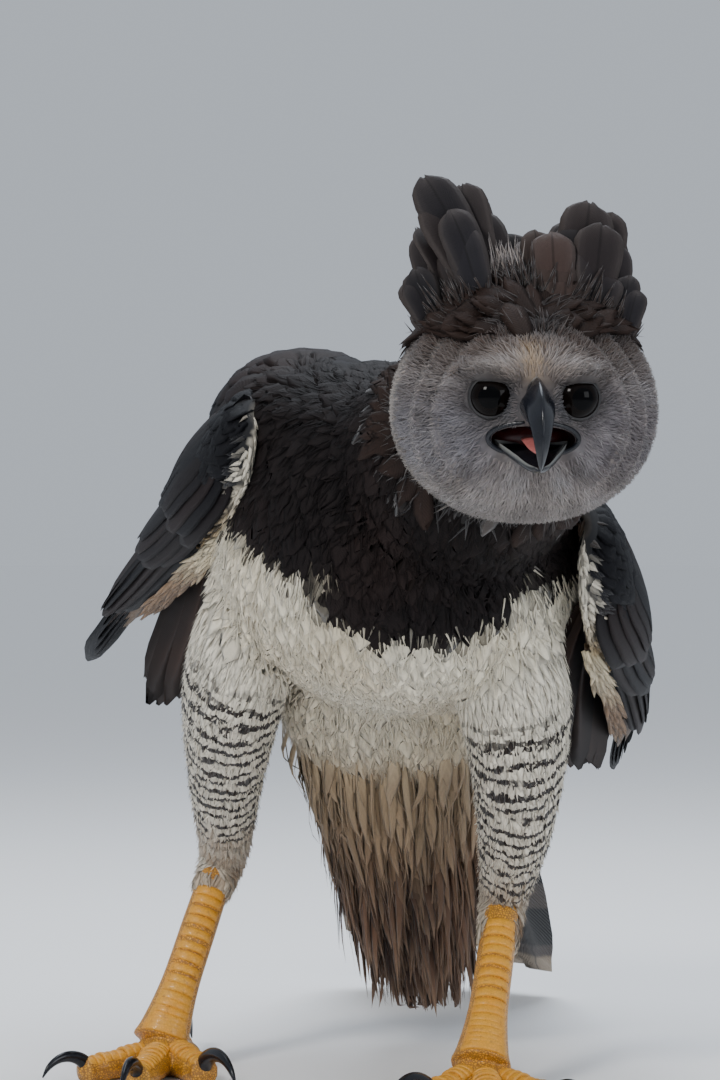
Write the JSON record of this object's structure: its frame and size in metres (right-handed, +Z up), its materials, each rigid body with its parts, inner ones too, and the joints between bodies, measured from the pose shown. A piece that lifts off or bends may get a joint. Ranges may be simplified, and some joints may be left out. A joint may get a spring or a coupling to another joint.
{
  "type": "harpy eagle",
  "caption": "Life-size harpy eagle standing on both feet, leaning forward with its head low, crest raised, bill open and wings held a little away from the body.",
  "frame": {"origin": "the middle of the whole bird's plan on the floor, between and behind the feet", "axes": "+Z up, the bird faces -Y, its tail points to +Y and its left side is towards +X"},
  "size_m": [0.4108, 0.7956, 0.5573],
  "materials": {
    "face_feathers": "soft grey fine feathers",
    "dark_feathers": "satin slate-black feathers",
    "pale_feathers": "soft cream feathers under a black breast",
    "barred_feathers": "white feathers with narrow black bars",
    "yellow_skin": "scaled bare skin",
    "horn": "polished black horn",
    "eye": "wet black-brown",
    "mouth": "moist red"
  },
  "bodies": {
    "root": {"head": "face_feathers", "bill_upper": "horn", "bill_lower": "horn", "tongue": "mouth", "mouth": "mouth", "eye_right": "eye", "eye_left": "eye", "neck": "dark_feathers", "torso": "pale_feathers", "undertail": "pale_feathers", "tail": "dark_feathers", "wing_right": "dark_feathers", "thigh_right": "barred_feathers", "tarsus_right": "yellow_skin", "inner_toe_right": "yellow_skin", "inner_toe_claw_right": "horn", "middle_toe_right": "yellow_skin", "middle_toe_claw_right": "horn", "outer_toe_right": "yellow_skin", "outer_toe_claw_right": "horn", "hind_toe_right": "yellow_skin", "hind_toe_claw_right": "horn", "wing_left": "dark_feathers", "thigh_left": "barred_feathers", "tarsus_left": "yellow_skin", "inner_toe_left": "yellow_skin", "inner_toe_claw_left": "horn", "middle_toe_left": "yellow_skin", "middle_toe_claw_left": "horn", "outer_toe_left": "yellow_skin", "outer_toe_claw_left": "horn", "hind_toe_left": "yellow_skin", "hind_toe_claw_left": "horn"}
  },
  "joints": []
}
